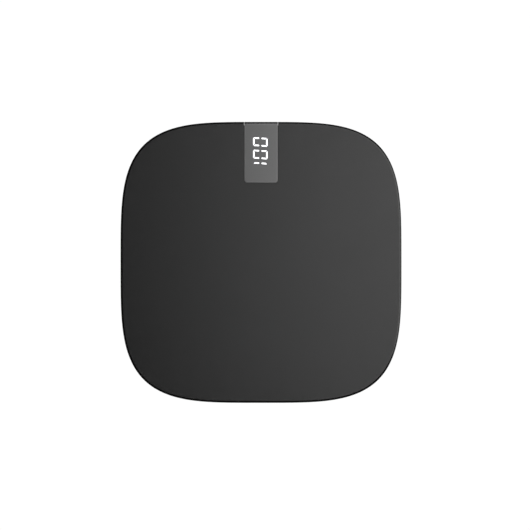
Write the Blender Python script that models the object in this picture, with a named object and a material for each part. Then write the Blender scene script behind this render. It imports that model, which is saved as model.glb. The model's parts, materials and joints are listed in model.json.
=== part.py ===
"""Square electronic bathroom scale, built piece by piece: a moulded platform with a display strip
at its far edge, a tapered base, a steel stiffener, the electronics, a three-cell battery bay with
a hinged door, a unit button, and four feet that each push on their own load cell.

Sizes below are in millimetres and become metres when a mesh is made. The origin is on the floor
under the middle of the scale, +Y runs towards the display edge and +Z is up.
"""

import math

import bmesh
import bpy
from mathutils import Matrix, Vector

MM = 0.001
GAP = 0.3  # left between pieces that touch

# Platform
SIDE = 280.0
HEIGHT = 25.0
SQUARENESS = 3.85  # exponent of the superellipse outline: 2 is a circle, more is squarer
OUTLINE_POINTS = 80
EDGE_RADIUS = 2.2
SKIN = 2.6
SKIRT = 2.6
SKIRT_BOTTOM = 19.4
COVER_BOSS_RADIUS = 3.6
COVER_BOSS_BOTTOM = 12.6
PILOT_RADIUS = 1.7
PILOT_TOP = 20.6

# Base tray
TRAY_FLOOR = 5.0
TRAY_WALL = 2.0
TRAY_TOP_HALF = 136.6
TRAY_LOW_HALF = 127.0
TRAY_TOP = HEIGHT - SKIN - GAP

# Display strip
LENS_WIDTH = 33.4
LENS_INNER_Y = 79.3
LENS_THICKNESS = 2.0
LENS_CORNER = 2.6
LENS_GAP = 0.4
DIGIT_HEIGHT = 12.8  # between the middles of the top and bottom segments
DIGIT_WIDTH = 7.6
DIGIT_PITCH = 12.65
DIGIT_MIDDLE_X = -0.7
LAST_DIGIT_Y = 120.2
SEGMENT_STROKE = 2.2
SLANT = 0.1

# Feet and load cells
FOOT_OFFSET = 84.0
FOOT_RADIUS = 20.5
CELL_SIDE = 34.0
CELL_THICKNESS = 1.6
CELL_BOTTOM = 9.0

# Battery bay: three AAA cells side by side, lying along X
BATTERY_RADIUS = 5.25
BATTERY_LENGTH = 44.5
BATTERY_PITCH = 11.1
BATTERY_AXIS_Z = 12.75
DOOR_THICKNESS = 2.0
DOOR_HINGE_Y = -36.0
DOOR_LENGTH = 40.7
FIRST_BATTERY_Y = DOOR_HINGE_Y + 10.15
PLATE_INNER_X = BATTERY_LENGTH / 2 + 1.8
PLATE_THICKNESS = 0.4
BAY_HALF_X = PLATE_INNER_X + PLATE_THICKNESS + GAP
BAY_LOW_Y = DOOR_HINGE_Y - 2.6
BAY_HIGH_Y = DOOR_HINGE_Y + DOOR_LENGTH + GAP
BAY_CEILING = 18.3

# Main board and unit button
BOARD_HALF_X = 32.0
BOARD_LOW_Y, BOARD_HIGH_Y = 22.0, 66.0
BOARD_BOTTOM = 12.0
BOARD_THICKNESS = 1.6
BUTTON_X, BUTTON_Y = 16.0, 44.0
BUTTON_RADIUS = 4.6
BUTTON_TRAVEL = 0.5

# Case screws
SCREW_PLACES = ((116, 0), (40, 116), (-40, 116), (-116, 0), (-40, -116), (40, -116))

HALF = SIDE / 2
FLOOR_TOP = TRAY_FLOOR + TRAY_WALL
BOARD_TOP = BOARD_BOTTOM + BOARD_THICKNESS


# ---- shapes, added to a bmesh in millimetres ----------------------------------------------------


def add_loft(bm, rings):
    """A closed body through rings of equally many points, capped at both ends."""
    loops = [[bm.verts.new(point) for point in ring] for ring in rings]
    for low, high in zip(loops, loops[1:]):
        for k in range(len(low)):
            after = (k + 1) % len(low)
            bm.faces.new((low[k], low[after], high[after], high[k]))
    bm.faces.new(loops[0][::-1])
    bm.faces.new(loops[-1])


def rounded_square(half, z):
    """One ring of the platform's superellipse outline, at a given half width."""
    ring = []
    for k in range(OUTLINE_POINTS):
        angle = 2 * math.pi * k / OUTLINE_POINTS
        across, along = math.cos(angle), math.sin(angle)
        x = math.copysign(abs(across) ** (2 / SQUARENESS), across)
        y = math.copysign(abs(along) ** (2 / SQUARENESS), along)
        ring.append((half * x, half * y, z))
    return ring


def circle(radius, z, sides, centre=(0, 0)):
    ring = []
    for k in range(sides):
        angle = 2 * math.pi * k / sides
        x = centre[0] + radius * math.cos(angle)
        y = centre[1] + radius * math.sin(angle)
        ring.append((x, y, z))
    return ring


def add_turned(bm, profile, sides, centre=(0, 0)):
    """A body turned about Z through (radius, z) points, with flat ends."""
    add_loft(bm, [circle(radius, z, sides, centre) for radius, z in profile])


def add_rod(bm, centre, low, high, radius, sides=12):
    add_turned(bm, ((radius, low), (radius, high)), sides, centre)


def add_prism(bm, points, low, high):
    """A flat outline of (x, y) points, raised from low to high."""
    add_loft(bm, [[(x, y, z) for x, y in points] for z in (low, high)])


def add_block(bm, low, high):
    corners = ((low[0], low[1]), (high[0], low[1]), (high[0], high[1]), (low[0], high[1]))
    add_prism(bm, corners, low[2], high[2])


def add_placed(bm, matrix, add, *values):
    """Adds a shape, then moves only that shape by a matrix."""
    before = set(bm.verts)
    add(bm, *values)
    added = [vert for vert in bm.verts if vert not in before]
    bmesh.ops.transform(bm, matrix=matrix, verts=added)


def arc(centre, radius, start, end, steps):
    """Points along an arc, with its angles in degrees."""
    points = []
    for k in range(steps + 1):
        angle = math.radians(start + (end - start) * k / steps)
        points.append((centre[0] + radius * math.cos(angle), centre[1] + radius * math.sin(angle)))
    return points


# ---- objects ------------------------------------------------------------------------------------


def clear_scene():
    for obj in list(bpy.data.objects):
        bpy.data.objects.remove(obj)


def make_material(name, colour, roughness, metallic=0.0):
    material = bpy.data.materials.new(name)
    material.use_nodes = True
    shader = material.node_tree.nodes["Principled BSDF"]
    shader.inputs["Base Color"].default_value = (*colour, 1.0)
    shader.inputs["Roughness"].default_value = roughness
    shader.inputs["Metallic"].default_value = metallic
    return material


def make_object(name, build, finish=None, parent=None):
    """An object from shapes in millimetres. finish is (colour, roughness, metallic)."""
    bm = bmesh.new()
    build(bm)
    bmesh.ops.scale(bm, vec=(MM, MM, MM), verts=bm.verts)
    bmesh.ops.recalc_face_normals(bm, faces=bm.faces)
    mesh = bpy.data.meshes.new(name)
    bm.to_mesh(mesh)
    bm.free()
    mesh.shade_smooth()
    mesh.set_sharp_from_angle(angle=math.radians(35))
    if finish:
        mesh.materials.append(make_material(name, *finish))
    obj = bpy.data.objects.new(name, mesh)
    bpy.context.scene.collection.objects.link(obj)
    obj.parent = parent
    return obj


def combine(part, operation, name, build):
    """Cuts from a part, joins to it or trims it by the closed shapes that build adds."""
    helper = make_object(name, build, parent=part.parent)
    helper.hide_render = True
    helper.display_type = "WIRE"
    modifier = part.modifiers.new(name, "BOOLEAN")
    modifier.operation = operation
    modifier.object = helper


def make_empty(name, place, turn=0.0):
    """A guide at a point in millimetres, turned about Z by an angle in degrees."""
    empty = bpy.data.objects.new(name, None)
    empty.location = Vector(place) * MM
    empty.rotation_euler.z = math.radians(turn)
    bpy.context.scene.collection.objects.link(empty)
    return empty


def smooth_route(points, steps):
    """A Catmull-Rom curve through the points, with that many steps between each two."""
    ends = [points[0], *points, points[-1]]
    knots = [Vector(point) for point in ends]
    route = []
    for a, b, c, d in zip(knots, knots[1:], knots[2:], knots[3:]):
        for k in range(steps):
            t = k / steps
            bend = 2 * a - 5 * b + 4 * c - d
            route.append(b + (c - a) * t / 2 + bend * t**2 / 2 + (3 * b - a - 3 * c + d) * t**3 / 2)
    route.append(knots[-1])
    return route


def make_lead(name, points, radius, finish, steps=3):
    """A wire as a round tube along a smooth route."""
    curve = bpy.data.curves.new(name, "CURVE")
    curve.dimensions = "3D"
    curve.bevel_depth = radius * MM
    curve.bevel_resolution = 2
    curve.use_fill_caps = True
    route = smooth_route(points, steps)
    spline = curve.splines.new("POLY")
    spline.points.add(len(route) - 1)
    for point, place in zip(spline.points, route):
        point.co = (*(place * MM), 1.0)
    curve.materials.append(make_material(name, *finish))
    lead = bpy.data.objects.new(name, curve)
    bpy.context.scene.collection.objects.link(lead)


# ---- finishes: colour, roughness, metallic ------------------------------------------------------

BLACK_ABS = ((0.03, 0.03, 0.03), 0.55, 0.0)
SMOKED_PLASTIC = ((0.125, 0.125, 0.127), 0.3, 0.0)
WHITE_FILM = ((0.85, 0.85, 0.85), 0.4, 0.0)
GREEN_BOARD = ((0.02, 0.13, 0.05), 0.4, 0.0)
CHIP_BLACK = ((0.02, 0.02, 0.02), 0.5, 0.0)
IVORY_NYLON = ((0.75, 0.7, 0.6), 0.5, 0.0)
PLATED_STEEL = ((0.6, 0.6, 0.58), 0.3, 1.0)
BLACK_RUBBER = ((0.04, 0.04, 0.04), 0.8, 0.0)
GREY_RUBBER = ((0.2, 0.2, 0.2), 0.8, 0.0)
RED_PVC = ((0.5, 0.02, 0.02), 0.5, 0.0)
WHITE_PVC = ((0.75, 0.75, 0.72), 0.5, 0.0)
CELL_JACKET = ((0.1, 0.12, 0.2), 0.35, 0.0)


# ---- platform -----------------------------------------------------------------------------------


def platform_levels(skin):
    """Half widths and heights from the ceiling, down round the skirt and up to the flat top."""
    inner = HALF - SKIRT
    lip = 0.5
    levels = [
        (inner, HEIGHT - skin),
        (inner, SKIRT_BOTTOM),
        (HALF - lip, SKIRT_BOTTOM),
        (HALF, SKIRT_BOTTOM + lip),
    ]
    return levels + arc((HALF - EDGE_RADIUS, HEIGHT - EDGE_RADIUS), EDGE_RADIUS, 0, 90, 4)


def lens_outline(margin):
    """The display strip's outline, open past the platform's edge, grown by a margin."""
    side = LENS_WIDTH / 2 + margin
    inner_y = LENS_INNER_Y - margin
    corner = LENS_CORNER + margin
    low_left = arc((-side + corner, inner_y + corner), corner, 180, 270, 4)
    low_right = arc((side - corner, inner_y + corner), corner, 270, 360, 4)
    return [(-side, HALF + 5), *low_left, *low_right, (side, HALF + 5)]


def platform_cover():
    levels = platform_levels(SKIN)
    cover = make_object(
        "platform_cover",
        lambda bm: add_loft(bm, [rounded_square(half, z) for half, z in levels]),
        BLACK_ABS,
    )

    def add_bosses(bm):
        for place in SCREW_PLACES:
            add_rod(bm, place, COVER_BOSS_BOTTOM, HEIGHT - SKIN + 0.6, COVER_BOSS_RADIUS)

    def add_pilot_holes(bm):
        for place in SCREW_PLACES:
            add_rod(bm, place, COVER_BOSS_BOTTOM - 2, PILOT_TOP, PILOT_RADIUS, 8)

    combine(cover, "UNION", "cover_bosses", add_bosses)
    combine(cover, "DIFFERENCE", "cover_pilot_holes", add_pilot_holes)
    combine(
        cover,
        "DIFFERENCE",
        "display_slot",
        lambda bm: add_prism(bm, lens_outline(LENS_GAP), 10, 30),
    )


def display_lens():
    levels = platform_levels(LENS_THICKNESS)
    lens = make_object(
        "display_lens",
        lambda bm: add_loft(bm, [rounded_square(half, z) for half, z in levels]),
        SMOKED_PLASTIC,
    )
    combine(lens, "INTERSECT", "lens_trim", lambda bm: add_prism(bm, lens_outline(0), 10, 30))


def stiffener_plate():
    """Pressed steel sheet under the platform, cut away round the screw bosses and the display."""
    top, sheet, half = HEIGHT - SKIN - GAP, 1, 128
    boss_hole = COVER_BOSS_RADIUS + 0.8
    display_half_x, display_low_y = 24, 72
    plate = make_object(
        "stiffener_plate",
        lambda bm: add_loft(bm, [rounded_square(half, top - sheet), rounded_square(half, top)]),
        PLATED_STEEL,
    )

    def add_openings(bm):
        for place in SCREW_PLACES:
            add_rod(bm, place, top - 3, top + 2, boss_hole)
        add_block(bm, (-display_half_x, display_low_y, top - 3), (display_half_x, HALF, top + 2))

    combine(plate, "DIFFERENCE", "plate_openings", add_openings)


# ---- display stack ------------------------------------------------------------------------------

MASK_TOP = HEIGHT - SKIN - GAP
MASK_BOTTOM = 17.6
DISPLAY_BOARD_TOP = MASK_BOTTOM - GAP


def segment_outline(length, width):
    """A bar with pointed ends, lying along X."""
    end, shoulder, side = length / 2, (length - width) / 2, width / 2
    return ((-end, 0), (-shoulder, -side), (shoulder, -side), (end, 0), (shoulder, side), (-shoulder, side))


def segment_places():
    """Middle and direction of all 21 segments. Digits stand with their tops towards -X."""
    places = []
    half_height, half_width = DIGIT_HEIGHT / 2, DIGIT_WIDTH / 2
    for digit in range(3):
        middle_y = LAST_DIGIT_Y - DIGIT_PITCH * digit
        for x in (-half_height, 0, half_height):
            places.append((DIGIT_MIDDLE_X + x, middle_y - SLANT * x, "Y"))
        for x in (-half_height / 2, half_height / 2):
            for y in (middle_y - half_width, middle_y + half_width):
                places.append((DIGIT_MIDDLE_X + x, y - SLANT * x, "X"))
    return places


def add_segments(bm, low, high, stroke):
    upright = segment_outline(DIGIT_HEIGHT / 2 - 0.9, stroke)
    level = [(y, x) for x, y in segment_outline(DIGIT_WIDTH - 0.9, stroke)]
    for x, y, direction in segment_places():
        outline = upright if direction == "X" else level
        add_prism(bm, [(x + u, y + v) for u, v in outline], low, high)


def display_stack():
    mask_half_x, mask_low_y, mask_high_y = 20.5, 76, 131
    film_half_x, film_low_y, film_high_y, film_thickness = 13, 86, 130, 0.4
    board_half_x, board_low_y, board_high_y, board_thickness = 19, 77.5, 129, 1.4
    mask = make_object(
        "light_mask",
        lambda bm: add_block(
            bm, (-mask_half_x, mask_low_y, MASK_BOTTOM), (mask_half_x, mask_high_y, MASK_TOP)
        ),
        BLACK_ABS,
    )
    combine(
        mask,
        "DIFFERENCE",
        "light_channels",
        lambda bm: add_segments(bm, MASK_BOTTOM - 1, MASK_TOP + 1, SEGMENT_STROKE - 0.6),
    )
    film_bottom = MASK_TOP + 0.25
    make_object(
        "segment_diffuser",
        lambda bm: add_block(
            bm,
            (-film_half_x, film_low_y, film_bottom),
            (film_half_x, film_high_y, film_bottom + film_thickness),
        ),
        WHITE_FILM,
    )
    board_bottom = DISPLAY_BOARD_TOP - board_thickness
    make_object(
        "display_board",
        lambda bm: add_block(
            bm,
            (-board_half_x, board_low_y, board_bottom),
            (board_half_x, board_high_y, DISPLAY_BOARD_TOP),
        ),
        GREEN_BOARD,
    )
    ribbon_path = ((62, 14.3), (66, 15.4), (71, 16.2), (76, 15.5), (80, 15.2), (85, 15.2))
    ribbon_half, ribbon_thickness = 6, 0.4

    def add_ribbon(bm):
        rings = []
        for y, z in ribbon_path:
            low = [(x, y, z) for x in (-ribbon_half, ribbon_half)]
            high = [(x, y, z + ribbon_thickness) for x in (ribbon_half, -ribbon_half)]
            rings.append(low + high)
        add_loft(bm, rings)

    make_object("display_cable", add_ribbon, WHITE_PVC)


# ---- base tray ----------------------------------------------------------------------------------


def corner_guides():
    """A guide over each foot, turned so that its +X points away from the scale's middle."""
    guides = []
    for number, angle in enumerate((45, 135, 225, 315), start=1):
        x = math.copysign(FOOT_OFFSET, math.cos(math.radians(angle)))
        y = math.copysign(FOOT_OFFSET, math.sin(math.radians(angle)))
        guides.append(make_empty(f"corner_{number}", (x, y, 0), angle))
    return guides


def corner_matrix(guide):
    """The guide's place and turn, in millimetres."""
    return Matrix.Translation(guide.location / MM) @ Matrix.Rotation(guide.rotation_euler.z, 4, "Z")


STAKE_Y = 21.5
TOWER_RADIUS, TOWER_WALL, TOWER_TOP = 27.5, 1.5, 20.8
RIB_HALF_WIDTH, RIB_REACH, LOW_RIB_TOP = 0.8, 58, 12
TRAY_BOSS_RADIUS, TRAY_BOSS_TOP = 4.7, 12.3
POST_RADIUS, POST_HOLE_RADIUS = 3, 1.4
SCREW_HEAD_WELL, SCREW_SEAT = 3.2, 9
STEM_HOLE_RADIUS = 7.5
WIRE_HOLE_RADIUS, WIRE_HOLE_Z = 1.1, 14
LABEL_HALF_X, LABEL_LOW_Y, LABEL_HIGH_Y, LABEL_DEPTH = 34, -84, -56, 0.4
BOARD_POSTS = ((-27, 27), (27, 61), (27, 27), (-27, 61))  # the first two take screws


def add_corner_seat(bm):
    """What the tray holds a load cell by: a square ledge and two stakes with melted heads."""
    add_block(bm, (-18, -18, TRAY_FLOOR + 1), (18, 18, CELL_BOTTOM - GAP))
    for y in (-STAKE_Y, STAKE_Y):
        add_turned(bm, ((1.6, TRAY_FLOOR + 1), (1.6, 12.9), (2.6, 12.9), (2.2, 13.7)), 10, (0, y))


def base_tray(guides):
    shell = [
        (TRAY_LOW_HALF - TRAY_WALL, FLOOR_TOP),
        (TRAY_TOP_HALF - TRAY_WALL, TRAY_TOP),
        (TRAY_TOP_HALF, TRAY_TOP),
        (TRAY_LOW_HALF, TRAY_FLOOR + 2.2),
        (TRAY_LOW_HALF - 0.8, TRAY_FLOOR + 0.7),
        (TRAY_LOW_HALF - 2.6, TRAY_FLOOR),
    ]
    tray = make_object(
        "base_tray",
        lambda bm: add_loft(bm, [rounded_square(half, z) for half, z in shell]),
        BLACK_ABS,
    )
    wall = 1.6
    root = TRAY_FLOOR + 1

    def add_foot_towers(bm):
        for guide in guides:
            add_rod(bm, guide.location.xy / MM, root, TOWER_TOP, TOWER_RADIUS, 28)

    def cut_foot_towers(bm):
        for guide in guides:
            add_rod(bm, guide.location.xy / MM, FLOOR_TOP, HEIGHT - 1, TOWER_RADIUS - TOWER_WALL, 28)

    def add_inner_works(bm):
        for guide in guides:
            add_placed(bm, corner_matrix(guide), add_corner_seat)
        for place in SCREW_PLACES:
            add_rod(bm, place, root, TRAY_BOSS_TOP, TRAY_BOSS_RADIUS, 14)
        for place in BOARD_POSTS:
            add_rod(bm, place, root, BOARD_BOTTOM - GAP, POST_RADIUS)
        for x in (-FOOT_OFFSET, FOOT_OFFSET):
            low_x, high_x = x - RIB_HALF_WIDTH, x + RIB_HALF_WIDTH
            add_block(bm, (low_x, -RIB_REACH, root), (high_x, RIB_REACH, TOWER_TOP))
        for y, top in ((-FOOT_OFFSET, TOWER_TOP), (FOOT_OFFSET, LOW_RIB_TOP)):
            low_y, high_y = y - RIB_HALF_WIDTH, y + RIB_HALF_WIDTH
            add_block(bm, (-RIB_REACH, low_y, root), (RIB_REACH, high_y, top))
        bay_low = (-BAY_HALF_X - wall, BAY_LOW_Y - wall, root)
        bay_high = (BAY_HALF_X + wall, BAY_HIGH_Y + wall, BAY_CEILING + wall)
        add_block(bm, bay_low, bay_high)

    def cut_openings(bm):
        below = TRAY_FLOOR - 2
        for guide in guides:
            matrix = corner_matrix(guide)
            add_placed(bm, matrix, add_block, (-14.5, -14.5, FLOOR_TOP), (14.5, 14.5, 12))
            add_placed(bm, matrix, add_block, (-30, -3, FLOOR_TOP + 1.9), (-25, 3, 12.5))
        for place in SCREW_PLACES:
            well, hole = SCREW_HEAD_WELL, PILOT_RADIUS
            add_turned(bm, ((well, below), (well, SCREW_SEAT), (hole, SCREW_SEAT), (hole, 14)), 12, place)
        for place in BOARD_POSTS[:2]:
            add_rod(bm, place, 8, 14, POST_HOLE_RADIUS, 8)
        add_rod(bm, (BUTTON_X, BUTTON_Y), below, 10, BUTTON_RADIUS + GAP, 20)
        add_block(bm, (-BAY_HALF_X, DOOR_HINGE_Y - GAP, below), (BAY_HALF_X, BAY_HIGH_Y, BAY_CEILING))

    def cut_stem_holes(bm):
        for guide in guides:
            add_rod(bm, guide.location.xy / MM, TRAY_FLOOR - 2, FLOOR_TOP + 1, STEM_HOLE_RADIUS, 20)

    def cut_hinge_ledge(bm):
        low = (-BAY_HALF_X, BAY_LOW_Y, FLOOR_TOP)
        high = (BAY_HALF_X, DOOR_HINGE_Y + 2, BAY_CEILING)
        add_block(bm, low, high)

    def cut_wire_holes(bm):
        turn = Matrix.Rotation(math.radians(90), 4, "Y")
        for side, y in ((-1, FIRST_BATTERY_Y), (1, FIRST_BATTERY_Y + 2 * BATTERY_PITCH)):
            centre = Matrix.Translation((side * (BAY_HALF_X + wall / 2), y, WIRE_HOLE_Z))
            add_placed(bm, centre @ turn, add_rod, (0, 0), -3, 3, WIRE_HOLE_RADIUS, 8)

    def cut_label_recess(bm):
        low = (-LABEL_HALF_X, LABEL_LOW_Y, TRAY_FLOOR - 1)
        high = (LABEL_HALF_X, LABEL_HIGH_Y, TRAY_FLOOR + LABEL_DEPTH)
        add_block(bm, low, high)

    combine(tray, "UNION", "foot_towers", add_foot_towers)
    combine(tray, "DIFFERENCE", "foot_tower_bores", cut_foot_towers)
    combine(tray, "UNION", "tray_inner_works", add_inner_works)
    combine(tray, "DIFFERENCE", "tray_openings", cut_openings)
    combine(tray, "DIFFERENCE", "stem_holes", cut_stem_holes)
    combine(tray, "DIFFERENCE", "hinge_ledge", cut_hinge_ledge)
    combine(tray, "DIFFERENCE", "wire_holes", cut_wire_holes)
    combine(tray, "DIFFERENCE", "label_recess", cut_label_recess)


# ---- feet and load cells ------------------------------------------------------------------------


def corner_unit(number, guide):
    """One corner's load cell with its gauge and clamp, and the foot that pushes on it."""
    half = CELL_SIDE / 2
    cell_top = CELL_BOTTOM + CELL_THICKNESS

    cell = make_object(
        f"load_cell_{number}",
        lambda bm: add_block(bm, (-half, -half, CELL_BOTTOM), (half, half, cell_top)),
        PLATED_STEEL,
        guide,
    )
    tongue_slot = ((-9, 7), (9, 7), (9, -7), (-9, -7), (-9, -9), (11, -9), (11, 9), (-9, 9))
    combine(
        cell,
        "DIFFERENCE",
        f"tongue_slot_{number}",
        lambda bm: add_prism(bm, tongue_slot, CELL_BOTTOM - 2, cell_top + 2),
    )
    make_object(
        f"strain_gauge_{number}",
        lambda bm: add_block(bm, (-13, -3.5, cell_top + GAP), (-5, 3.5, cell_top + GAP + 0.7)),
        WHITE_FILM,
        guide,
    )
    clamp_bottom, clamp_top = cell_top + GAP, cell_top + GAP + 1.7
    clamp_half, clamp_opening, ear_half, ear_reach = 18, 14, 3.6, 24.6
    clamp = make_object(
        f"cell_clamp_{number}",
        lambda bm: add_block(
            bm, (-clamp_half, -clamp_half, clamp_bottom), (clamp_half, clamp_half, clamp_top)
        ),
        IVORY_NYLON,
        guide,
    )
    combine(
        clamp,
        "UNION",
        f"clamp_ears_{number}",
        lambda bm: add_block(
            bm, (-ear_half, -ear_reach, clamp_bottom), (ear_half, ear_reach, clamp_top)
        ),
    )

    def cut_clamp(bm):
        low = (-clamp_opening, -clamp_opening, clamp_bottom - 2)
        add_block(bm, low, (clamp_opening, clamp_opening, clamp_top + 2))
        for y in (-STAKE_Y, STAKE_Y):
            add_rod(bm, (0, y), clamp_bottom - 2, clamp_top + 2, 2, 10)

    combine(clamp, "DIFFERENCE", f"clamp_openings_{number}", cut_clamp)

    foot_axis = make_empty(f"foot_{number}_axis", (0, 0, 0))
    foot_axis.parent = guide
    pad_radius, pad_height, pad_edge = 17.5, 2.6, 0.6
    stem_radius = 6
    pad_profile = ((pad_radius - pad_edge, 0), (pad_radius, pad_edge), (pad_radius, pad_height))
    cup_profile = (
        (pad_radius + GAP, pad_height + GAP),
        (pad_radius + GAP, 1),
        (FOOT_RADIUS, 1),
        (FOOT_RADIUS, 3.6),
        (FOOT_RADIUS - 0.9, 4.4),
        (stem_radius, 4.4),
        (stem_radius, 8),
        (stem_radius - 0.7, CELL_BOTTOM - GAP),
    )
    make_object(
        f"foot_pad_{number}",
        lambda bm: add_turned(bm, pad_profile, 32),
        GREY_RUBBER,
        foot_axis,
    )
    make_object(
        f"foot_cup_{number}",
        lambda bm: add_turned(bm, cup_profile, 32),
        BLACK_ABS,
        foot_axis,
    )


def sensor_leads():
    """A lead from each load cell, over the tray's floor, to the sockets on the main board."""
    edge = FOOT_OFFSET - (CELL_SIDE / 2 + 0.35) / math.sqrt(2)
    level = CELL_BOTTOM + 0.8
    far_route = (
        (edge, edge, level),
        (66, 66, level + 0.2),
        (59, 61, 8.8),
        (50, 55, 8.6),
        (42, 51, 11.5),
        (35, 49.2, 15.2),
        (30.8, 49, 15.8),
    )
    near_route = (
        (edge, -edge, level),
        (66, -66, level + 0.2),
        (58, -54, 8.8),
        (50, -28, 8.4),
        (46, 0, 8.4),
        (45, 22, 8.6),
        (41, 36, 12.5),
        (35, 40.6, 15.4),
        (30.8, 41, 15.8),
    )
    routes = ((far_route, 1), (far_route, -1), (near_route, -1), (near_route, 1))
    for number, (route, side) in enumerate(routes, start=1):
        points = [(side * x, y, z) for x, y, z in route]
        make_lead(f"sensor_lead_{number}", points, 0.8, WHITE_PVC)


# ---- electronics --------------------------------------------------------------------------------


def main_board():
    board = make_object(
        "main_board",
        lambda bm: add_block(
            bm, (-BOARD_HALF_X, BOARD_LOW_Y, BOARD_BOTTOM), (BOARD_HALF_X, BOARD_HIGH_Y, BOARD_TOP)
        ),
        GREEN_BOARD,
    )

    def cut_holes(bm):
        for place in BOARD_POSTS[:2]:
            add_rod(bm, place, BOARD_BOTTOM - 2, BOARD_TOP + 2, 1.6, 10)

    combine(board, "DIFFERENCE", "board_holes", cut_holes)
    top = BOARD_TOP + GAP
    make_object(
        "controller_chip",
        lambda bm: add_block(bm, (-13, 40, top), (-3, 50, top + 1.5)),
        CHIP_BLACK,
    )
    for name, side in (("sensor_socket_right", 1), ("sensor_socket_left", -1)):
        low_x, high_x = sorted((side * 24.5, side * 30.5))
        make_object(
            name,
            lambda bm: add_block(bm, (low_x, 36, top), (high_x, 54, top + 3.8)),
            IVORY_NYLON,
        )
    for number, place in enumerate(BOARD_POSTS[:2], start=1):
        profile = ((1.1, 8.6), (1.1, top), (2.5, top), (2.5, top + 0.9), (1.9, top + 1.5))
        make_object(
            f"board_screw_{number}",
            lambda bm: add_turned(bm, profile, 12, place),
            PLATED_STEEL,
        )


def unit_button():
    """The push button under the tray and the switch that it presses."""
    axis = make_empty("unit_button_axis", (BUTTON_X, BUTTON_Y, 0))
    flange_bottom = FLOOR_TOP + GAP
    button_top = flange_bottom + 1
    cap_profile = (
        (BUTTON_RADIUS - 0.5, TRAY_FLOOR + 0.3),
        (BUTTON_RADIUS, TRAY_FLOOR + 0.8),
        (BUTTON_RADIUS, flange_bottom),
        (BUTTON_RADIUS + 1.8, flange_bottom),
        (BUTTON_RADIUS + 1.8, button_top),
    )
    make_object("unit_button", lambda bm: add_turned(bm, cap_profile, 24), GREY_RUBBER, axis)
    plunger_bottom = button_top + GAP
    make_object(
        "unit_switch_plunger",
        lambda bm: add_rod(bm, (0, 0), plunger_bottom, 10.4, 1.6),
        CHIP_BLACK,
        axis,
    )
    body_bottom = button_top + BUTTON_TRAVEL + 0.5
    body = make_object(
        "unit_switch_body",
        lambda bm: add_block(bm, (-3, -3, body_bottom), (3, 3, BOARD_BOTTOM - GAP)),
        PLATED_STEEL,
        axis,
    )
    combine(body, "DIFFERENCE", "plunger_well", lambda bm: add_rod(bm, (0, 0), 8, 11.2, 2))


# ---- battery bay --------------------------------------------------------------------------------


def battery_y(number):
    return FIRST_BATTERY_Y + BATTERY_PITCH * (number - 1)


def batteries():
    """Three cells in series, so each one lies the other way round from its neighbour."""
    jacket = BATTERY_LENGTH - 1.2
    profile = (
        (BATTERY_RADIUS - 0.4, 0),
        (BATTERY_RADIUS, 0.4),
        (BATTERY_RADIUS, jacket - 0.5),
        (BATTERY_RADIUS - 0.6, jacket),
        (1.9, jacket),
        (1.9, BATTERY_LENGTH),
    )
    for number, side in ((1, -1), (2, 1), (3, -1)):
        battery = make_object(f"battery_{number}", lambda bm: add_turned(bm, profile, 20), CELL_JACKET)
        button_end = side * (PLATE_INNER_X - GAP)
        flat_end = button_end - side * BATTERY_LENGTH
        battery.location = Vector((flat_end, battery_y(number), BATTERY_AXIS_Z)) * MM
        battery.rotation_euler.y = math.radians(90 * side)


def add_spring(bm, side, y):
    """A conical battery spring, its wide end sunk in the plate, as a swept round wire."""
    turns, steps, wire_sides, wire = 2.5, 12, 6, 0.35
    length = PLATE_INNER_X - (BATTERY_LENGTH / 2 - 1.5) - GAP
    count = round(turns * steps)
    rings = []
    for k in range(count + 1):
        share = k / count
        angle = 2 * math.pi * turns * share
        radius = 3.7 - 1.3 * share
        x = PLATE_INNER_X + 0.1 - (length - wire) * share
        out = Vector((0, math.cos(angle), math.sin(angle)))
        middle = Vector((x, y, BATTERY_AXIS_Z)) + out * radius
        ring = []
        for j in range(wire_sides):
            lean = 2 * math.pi * j / wire_sides
            point = middle + out * wire * math.cos(lean) + Vector((wire * math.sin(lean), 0, 0))
            ring.append((point.x * side, point.y, point.z))
        rings.append(ring)
    add_loft(bm, rings)


def contact(name, side, first, last, spring_at):
    """A sheet metal contact over one or two cells, with a spring where a cell's flat end is."""
    low = (PLATE_INNER_X, battery_y(first) - 4.6, 8)
    high = (PLATE_INNER_X + PLATE_THICKNESS, battery_y(last) + 4.6, 17.6)
    low_x, high_x = sorted((side * low[0], side * high[0]))
    plate = make_object(
        name,
        lambda bm: add_block(bm, (low_x, low[1], low[2]), (high_x, high[1], high[2])),
        PLATED_STEEL,
    )
    if spring_at:
        spring_y = battery_y(spring_at)
        combine(plate, "UNION", f"{name}_spring", lambda bm: add_spring(bm, side, spring_y))


def battery_leads():
    red_route = (
        (-BAY_HALF_X, battery_y(1), 14),
        (-28.5, battery_y(1), 13.8),
        (-33, -21, 11),
        (-35.5, -6, 8.4),
        (-34.5, 9, 9.6),
        (-27, 17.5, 14.6),
        (-21, 23.5, 15.2),
        (-19, 29, 14.7),
    )
    black_route = (
        (BAY_HALF_X, battery_y(3), 14),
        (28.5, battery_y(3), 13.8),
        (33, 0, 11.5),
        (34.5, 9, 10.6),
        (27, 17.5, 14.6),
        (21, 23.5, 15.2),
        (19, 29, 14.7),
    )
    make_lead("red_lead", red_route, 0.65, RED_PVC, 2)
    make_lead("black_lead", black_route, 0.65, BLACK_RUBBER, 2)


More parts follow.
